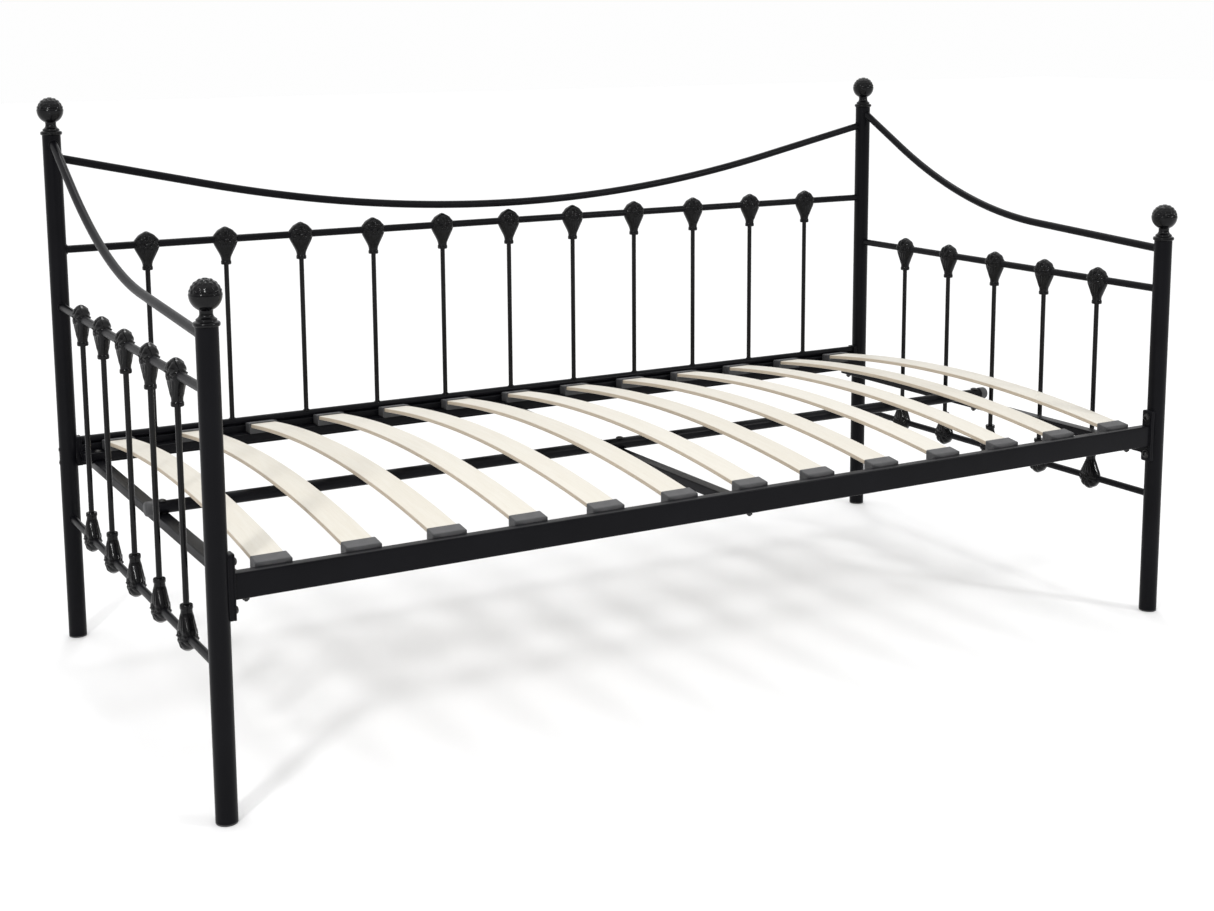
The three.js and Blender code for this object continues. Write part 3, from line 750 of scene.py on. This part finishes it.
def make_slat(node, chance):
    """A bowed laminated slat with softened edges, carrying where each point lies in the wood."""
    section = rectangle(SLAT_WIDTH, SLAT_THICKNESS, 0.0016, (0, SLAT_THICKNESS / 2), steps=3)
    stations = 44
    places = [SLAT_HALF * (2 * i / stations - 1) for i in range(stations + 1)]
    path = [Vector((0, y, slat_under(y))) for y in places]
    bm = bmesh.new()
    grain = bm.verts.layers.float_vector.new("grain")
    edge = bm.verts.layers.float.new("edge")
    tint = bm.verts.layers.float.new("tint")
    rows = loft(bm, swept(path, section, X))
    shade = chance.random()
    shift = Vector((chance.uniform(0, 40), chance.uniform(0, 40), 0))
    for row, y in zip(rows, places):
        for vertex, (across, through) in zip(row, section):
            vertex[grain] = Vector((across, y, through)) + shift
            vertex[edge] = 1.0 if abs(across) > SLAT_WIDTH / 2 - 0.0004 else 0.0
            vertex[tint] = shade
    mesh = finished(node, bm, BIRCH)
    place(f"{node}_birch", mesh, [node], Vector((middle(node).x, 0, 0)))


chance = random.Random(7)
for node in SLAT_NODES:
    make_slat(node, chance)

# ------------------------------------------------------------------ side rails
RAIL_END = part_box("side_rail_front")[1].x
RAIL_OUTER = REAR_RAIL_HIGH.y
RAIL_INNER = RAIL_OUTER - RAIL_DEPTH
LIP_FACE = REAR_RAIL_LOW.y
LEDGE_WELD = {"pitch": 0.178, "length": 0.028}
TUBE_WELD = {"pitch": 0.162, "length": 0.024}
WELDS_EACH_WAY = 5  # from the middle of a side rail


def mirrored(outline, side):
    """An outline drawn for the rear rail, turned over for the front one."""
    return [(side * y, z) for y, z in outline]


def rail_outlines():
    centre = ((RAIL_OUTER + RAIL_INNER) / 2, RAIL_MIDDLE)
    tube = rectangle(RAIL_DEPTH, RAIL_HEIGHT, 0.0032, centre, steps=5)
    under = LEDGE_TOP - LEDGE_THICKNESS
    ledge = rounded([
        (RAIL_INNER + 0.0005, LEDGE_TOP), (LIP_FACE, LEDGE_TOP), (LIP_FACE, LEDGE_TOP - LIP_HEIGHT),
        (LIP_FACE + LEDGE_THICKNESS, LEDGE_TOP - LIP_HEIGHT), (LIP_FACE + LEDGE_THICKNESS, under),
        (RAIL_INNER + 0.0005, under),
    ], 0.0012, 3)
    return tube, ledge


def make_side_rail(place_name, side):
    """The box section with its ledge and lip, and short welds between them."""
    bm = bmesh.new()
    for outline in rail_outlines():
        section = mirrored(outline, side)
        loft(bm, [[Vector((x, y, z)) for y, z in section] for x in (-RAIL_END, RAIL_END)])
    for weld in range(-WELDS_EACH_WAY, WELDS_EACH_WAY + 1):
        left = weld * LEDGE_WELD["pitch"] - LEDGE_WELD["length"] / 2
        start = Vector((left, side * RAIL_INNER, LEDGE_TOP - LEDGE_THICKNESS - 0.0004))
        line = [start + X * (LEDGE_WELD["length"] * i / 18) for i in range(19)]
        bead(bm, line, lambda point: Vector((0, -side, -1)), looped=False)
    if place_name == "rear":
        centre = Vector((0, POST_AXIS["rear_left"].y, REAR_RAIL_HIGH.z - BACK_LOWER_RAIL_RADIUS))
        path = [centre + X * x for x in (-RAIL_END, RAIL_END)]
        loft(bm, swept(path, circle(BACK_LOWER_RAIL_RADIUS), Y))
        for face in (-1, 1):
            for weld in range(-WELDS_EACH_WAY, WELDS_EACH_WAY + 1):
                left = weld * TUBE_WELD["pitch"] - TUBE_WELD["length"] / 2
                foot = centre + Vector((left, face * 0.0042, 0.0016 - BACK_LOWER_RAIL_RADIUS))
                line = [foot + X * (TUBE_WELD["length"] * i / 16) for i in range(17)]
                bead(bm, line, lambda point, f=face: Vector((0, f, 0.4)), looped=False, size=0.0015)
    place(f"side_rail_{place_name}_tube", finished("side_rail", bm, COAT), [f"side_rail_{place_name}"])


def make_rail_plate(node):
    """The upright plate at a rail's end, with its wing over the ledge, bolt holes and a drain hole."""
    low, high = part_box(node)
    side = math.copysign(1, low.y)
    corner = node.removeprefix("rail_plate_")
    axis_y = abs(POST_AXIS["rear_left"].y)
    half = PLATE_WIDTH / 2
    wing_low = LEDGE_TOP - WING_DROP[row_of(corner)]
    outline = rounded([
        (axis_y - half, low.z), (axis_y + half, low.z), (axis_y + half, high.z),
        (axis_y - half, high.z), (axis_y - half, LEDGE_TOP + 0.0004), (LIP_FACE, LEDGE_TOP + 0.0004),
        (LIP_FACE, wing_low), (axis_y - half, wing_low),
    ], 0.004, 5)
    vent_y = RAIL_OUTER - RAIL_DEPTH / 2
    holes = bolt_holes(corner, axis_y)
    holes.append([(vent_y + y, RAIL_MIDDLE + z) for y, z in circle(VENT_RADIUS, 20)])
    bm = bmesh.new()
    centre = Matrix.Translation(Vector(((low.x + high.x) / 2, 0, 0)))
    loops = [mirrored(loop, side) for loop in (outline, *holes)]
    flat_plate(bm, loops[0], loops[1:], high.x - low.x, 0.0005, centre @ UPRIGHT)
    inner_face = low.x if low.x > 0 else high.x
    inward = -math.copysign(1, low.x)
    steps = 40
    for y, out in ((RAIL_OUTER, 1), (RAIL_INNER, -1)):
        foot = RAIL_TOP - RAIL_HEIGHT + 0.003
        bottom = Vector((inner_face + inward * 0.0004, side * (y + out * 0.0002), foot))
        rise = RAIL_HEIGHT - 0.006 if out > 0 else RAIL_HEIGHT - 0.020
        line = [bottom + Z * (rise * i / steps) for i in range(steps + 1)]
        bead(bm, line, lambda point, o=out: Vector((inward, side * o, 0)), looped=False, size=0.0015)
    place(f"{node}_steel", finished("rail_plate", bm, COAT), [node])


def pocket_mesh():
    """A moulded cup for a slat's rear end, with a thin roof and a rounded mouth."""
    mouth = RAIL_INNER - POCKET_DEPTH
    slope = 2 * SLAT_RISE / SLAT_HALF
    room = SLAT_THICKNESS + 2 * SLAT_PLAY
    slat_space = SLAT_WIDTH + 0.001

    def roof_over(y):
        return slat_under(min(y, SLAT_HALF)) + room + POCKET_WALL

    def outside(y, inset):
        roof = roof_over(y) - (0.0 if y < SLAT_HALF else slope * POCKET_WALL)
        height = roof - LEDGE_TOP - inset
        outline = rectangle(POCKET_WIDTH - 2 * inset, height, 0.0030, (0, LEDGE_TOP + height / 2), steps=4)
        return [Vector((x, y, z)) for x, z in outline]

    def inside(y, spread):
        floor = slat_under(min(y, SLAT_HALF)) - SLAT_PLAY
        outline = rectangle(slat_space + spread, room + spread, 0.0018, (0, floor + room / 2), steps=4)
        return [Vector((x, y, z)) for x, z in outline]

    steps = 6
    run = [mouth + 0.001 + (RAIL_INNER - mouth - 0.0016) * i / steps for i in range(steps + 1)]
    rings = [[Vector((0, RAIL_INNER, (LEDGE_TOP + RAIL_TOP) / 2))], outside(RAIL_INNER, 0.0006)]
    rings += [outside(y, 0.0) for y in reversed(run)]
    rings += [outside(mouth + 0.0002, 0.0003), outside(mouth, 0.0011), inside(mouth, 0.0008)]
    rings += [inside(mouth + 0.0008, 0.0), inside(SLAT_HALF + 0.0002, 0.0)]
    rings.append([Vector((0, SLAT_HALF + 0.0002, slat_under(SLAT_HALF) + room / 2))])
    bm = bmesh.new()
    loft(bm, rings)
    return finished("slat_pocket", bm, PLASTIC, sharp=50)


for place_name, side in (("front", -1), ("rear", 1)):
    make_side_rail(place_name, side)
for node in sorted(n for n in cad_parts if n.startswith("rail_plate")):
    make_rail_plate(node)

cup = pocket_mesh()
for place_name, turn in (("front", math.pi), ("rear", 0.0)):
    for node in SLAT_NODES:
        at = Vector((middle(node).x, 0, 0))
        place(f"pocket_{place_name}_{node.split('_')[1]}", cup, [f"side_rail_{place_name}"], at, turn)

# ------------------------------------------------------------------ bars under the slats
CROSS_BARS = ("left", "middle", "right")
CENTRE_LOW, CENTRE_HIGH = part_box("centre_rail")
CENTRE_RADIUS = (CENTRE_HIGH.z - CENTRE_LOW.z) / 2
CENTRE_HEIGHT = (CENTRE_HIGH.z + CENTRE_LOW.z) / 2


def open_tube(bm, ends, outer, inner, side):
    """A straight tube with its bore open at both ends."""
    rings = swept(ends, outer, side) + list(reversed(swept(ends, inner, side)))
    loft(bm, rings, looped=True)


def make_cross_bar(which):
    low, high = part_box(f"cross_bar_{which}")
    width, tall = high.x - low.x, high.z - low.z
    centre = (low + high) / 2
    ends = [Vector((centre.x, y, centre.z)) for y in (low.y, high.y)]
    bm = bmesh.new()
    wall = 2 * CROSS_BAR_WALL
    open_tube(bm, ends, rectangle(width, tall, 0.0026), rectangle(width - wall, tall - wall, 0.0012), X)
    place(f"cross_bar_{which}_tube", finished("cross_bar", bm, COAT), [f"cross_bar_{which}"])


def make_centre_rail():
    bm = bmesh.new()
    ends = [Vector((x, 0, CENTRE_HEIGHT)) for x in (CENTRE_LOW.x, CENTRE_HIGH.x)]
    open_tube(bm, ends, circle(CENTRE_RADIUS), circle(CENTRE_RADIUS - CENTRE_RAIL_WALL), Y)
    place("centre_rail_tube", finished("centre_rail", bm, COAT), ["centre_rail"])


def make_centre_cap(side, name):
    """A plastic cap over one end of the centre rail."""
    over = CENTRE_RADIUS + 0.0018
    profile = [
        (0, 0.0005), (CENTRE_RADIUS + 0.0004, 0.0005), (over - 0.0005, 0.0), (over, 0.0006),
        (over + 0.0002, 0.010), (over, 0.0145), (over - 0.0012, 0.0170), (over - 0.0040, 0.0184),
        (over - 0.0075, 0.0188), (0, 0.0190),
    ]
    start = CENTRE_HIGH.x - 0.0150
    turn = Matrix.Rotation(side * math.pi / 2, 4, "Y")
    bm = bmesh.new()
    loft(bm, turned(profile, 36), matrix=Matrix.Translation((side * start, 0, CENTRE_HEIGHT)) @ turn)
    place(f"centre_rail_cap_{name}", finished("centre_cap", bm, PLASTIC))


BOLT_SIDES = 24


def hexagon(radius, sides=BOLT_SIDES):
    """A hexagon with as many points as a round ring, so that the two can be skinned together."""
    points = []
    for i in range(sides):
        angle = 2 * math.pi * i / sides
        flat = radius / math.cos((angle % (math.pi / 3)) - math.pi / 6)
        points.append((flat * math.cos(angle), flat * math.sin(angle)))
    return points


def level(outline, height):
    return [Vector((x, y, height)) for x, y in outline]


def round_ring(radius, height):
    return level(circle(radius, BOLT_SIDES), height)


def socket_screw(bm, matrix, length):
    """A button-headed screw with a hexagon socket on a washer; the head's seat is at nought, pointing up."""
    washer, head = 0.0086, 0.0066
    rings = [
        [Vector((0, 0, -length))], round_ring(0.0034, -length), round_ring(0.0039, -length + 0.0008),
        round_ring(0.0039, 0.0), round_ring(washer, 0.0), round_ring(washer, 0.0014),
        round_ring(head, 0.0015), round_ring(head, 0.0026), round_ring(head * 0.86, 0.0046),
        round_ring(head * 0.60, 0.0057), level(hexagon(0.0024), 0.0058), level(hexagon(0.0023), 0.0034),
        [Vector((0, 0, 0.0034))],
    ]
    loft(bm, rings, matrix=matrix)


def flush_screw(bm, matrix, length):
    """A screw whose low head sits in the wall of a post, with a hexagon socket."""
    head = 0.0048
    rings = [
        [Vector((0, 0, -length))], round_ring(0.0034, -length), round_ring(0.0039, -length + 0.0008),
        round_ring(0.0039, -0.0030), round_ring(head, -0.0012), round_ring(head, 0.0002),
        round_ring(head * 0.8, 0.0008), level(hexagon(0.0024), 0.0009), level(hexagon(0.0023), -0.0010),
        [Vector((0, 0, -0.0010))],
    ]
    loft(bm, rings, matrix=matrix)


def carriage_bolt(bm, at, top, bottom):
    """A domed bolt down through a cross bar, with a washer and a hexagon nut below."""
    rings = [
        [Vector((0, 0, top + 0.0034))], round_ring(0.0040, top + 0.0030), round_ring(0.0074, top + 0.0014),
        round_ring(0.0080, top + 0.0004), round_ring(0.0080, top), round_ring(0.0030, top - 0.0005),
        round_ring(0.0030, bottom), round_ring(0.0076, bottom), round_ring(0.0076, bottom - 0.0013),
        level(hexagon(0.0050), bottom - 0.0014), level(hexagon(0.0050), bottom - 0.0062),
        round_ring(0.0032, bottom - 0.0064), round_ring(0.0030, bottom - 0.0082),
        round_ring(0.0024, bottom - 0.0088), [Vector((0, 0, bottom - 0.0088))],
    ]
    loft(bm, rings, matrix=Matrix.Translation(at))


def make_bolts():
    for corner in CORNERS:
        axis = POST_AXIS[corner]
        low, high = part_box(f"rail_plate_{corner}")
        inward = -math.copysign(1, axis.x)
        if row_of(corner) == "front":
            screw, facing, length = socket_screw, inward, 0.009
            seat = high.x if inward > 0 else low.x
        else:
            screw, facing, length = flush_screw, -inward, 0.046
            seat = axis.x - inward * POST_RADIUS
        bm = bmesh.new()
        for height in bolt_heights(corner):
            turn = Matrix.Rotation(facing * math.pi / 2, 4, "Y")
            screw(bm, Matrix.Translation((seat, axis.y, height)) @ turn, length)
        place(f"corner_bolts_{corner}", finished("corner_bolts", bm, STEEL))
    for which in CROSS_BARS:
        low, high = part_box(f"cross_bar_{which}")
        bm = bmesh.new()
        for side in (-1, 1):
            at = Vector(((low.x + high.x) / 2, side * (LIP_FACE + RAIL_INNER) / 2, 0))
            carriage_bolt(bm, at, LEDGE_TOP, low.z)
        at = Vector(((low.x + high.x) / 2, 0, 0))
        carriage_bolt(bm, at, CENTRE_HIGH.z, low.z)
        place(f"cross_bar_bolts_{which}", finished("cross_bar_bolts", bm, STEEL))


for which in CROSS_BARS:
    make_cross_bar(which)
make_centre_rail()
make_centre_cap(1, "right")
make_centre_cap(-1, "left")
make_bolts()

# ------------------------------------------------------------------ floor, light and camera
FLOOR_SIZE = 60.0
KEY_ENERGY = 0.4
KEY_ANGLE = math.radians(10)
KEY_FROM = Vector((0.35, 0.75, 1.5))
BACKDROP = 0.99  # brightness of the surround where the camera sees it


def make_floor():
    """A plain pale studio floor."""
    bm = bmesh.new()
    half = FLOOR_SIZE / 2
    corners = ((-half, -half), (half, -half), (half, half), (-half, half))
    bm.faces.new([bm.verts.new((x, y, 0)) for x, y in corners])
    mesh = bpy.data.meshes.new("floor")
    bm.to_mesh(mesh)
    bm.free()
    material, tree, shader = new_material("studio_floor", Roughness=0.9, Specular_IOR_Level=0.1)
    slow = tree.noise(tree.add("ShaderNodeTexCoord").outputs["Object"], 0.6, 2.0)
    tone = tree.mix(slow, (0.845, 0.845, 0.850, 1), (0.860, 0.860, 0.862, 1))
    tree.set(shader, {"Base Color": tone})
    mesh.materials.append(material)
    floor = bpy.data.objects.new("floor", mesh)
    bpy.context.scene.collection.objects.link(floor)


def softbox(name, at, size, power):
    lamp_data = bpy.data.lights.new(name, "AREA")
    lamp_data.shape = "SQUARE"
    lamp_data.size = size
    lamp_data.energy = power
    lamp = bpy.data.objects.new(name, lamp_data)
    lamp.location = at
    lamp.rotation_euler = (Vector(at) - Z * 0.5).to_track_quat("Z", "Y").to_euler()
    bpy.context.scene.collection.objects.link(lamp)


def make_lights():
    """A weak key from behind, two softboxes for glints, and a surround that is bright above and behind."""
    key = bpy.data.lights.new("key", "SUN")
    key.energy = KEY_ENERGY
    key.angle = KEY_ANGLE
    lamp = bpy.data.objects.new("key", key)
    lamp.rotation_euler = KEY_FROM.to_track_quat("Z", "Y").to_euler()
    bpy.context.scene.collection.objects.link(lamp)
    softbox("left_softbox", (-3.2, -2.6, 2.6), 0.4, 60)
    softbox("right_softbox", (2.8, -3.4, 2.4), 0.35, 44)

    world = bpy.data.worlds.new("studio")
    bpy.context.scene.world = world
    tree = Tree(world)
    seen = tree.add("ShaderNodeLightPath").outputs["Is Camera Ray"]
    direction = tree.add("ShaderNodeTexCoord").outputs["Generated"]
    split = tree.add("ShaderNodeSeparateXYZ", {"Vector": direction})
    horizon = tree.span(split.outputs["Y"], -0.3, 0.6, 0.10, 1.00)
    around = tree.span(split.outputs["Z"], 0.0, 1.0, horizon, 1.45)
    strength = tree.span(seen, 0.0, 1.0, around, BACKDROP)
    tree.set(tree.nodes["Background"], {"Color": (1, 1, 1, 1), "Strength": strength})


CAMERA_PLACE = Vector((-1.7231, -2.9471, 1.1936))
CAMERA_YAW = math.radians(28.906)
CAMERA_PITCH = math.radians(8.742)
CAMERA_ROLL = math.radians(-0.470)
CAMERA_LENS = 51.43
CAMERA_SHIFT = (0.0248, -0.1281)


def make_camera():
    data = bpy.data.cameras.new("camera")
    data.sensor_width = 36.0
    data.lens = CAMERA_LENS
    data.shift_x, data.shift_y = CAMERA_SHIFT
    data.clip_end = 200.0
    ahead = Vector((
        math.sin(CAMERA_YAW) * math.cos(CAMERA_PITCH),
        math.cos(CAMERA_YAW) * math.cos(CAMERA_PITCH),
        -math.sin(CAMERA_PITCH),
    ))
    right = Vector((math.cos(CAMERA_YAW), -math.sin(CAMERA_YAW), 0))
    up = right.cross(ahead)
    tilted_right = math.cos(CAMERA_ROLL) * right + math.sin(CAMERA_ROLL) * up
    tilted_up = math.cos(CAMERA_ROLL) * up - math.sin(CAMERA_ROLL) * right
    turn = Matrix((tilted_right, tilted_up, -ahead)).transposed()
    camera = bpy.data.objects.new("camera", data)
    camera.matrix_world = Matrix.Translation(CAMERA_PLACE) @ turn.to_4x4()
    bpy.context.scene.collection.objects.link(camera)
    bpy.context.scene.camera = camera


make_floor()
make_lights()
make_camera()
bpy.context.scene.view_settings.view_transform = "Standard"
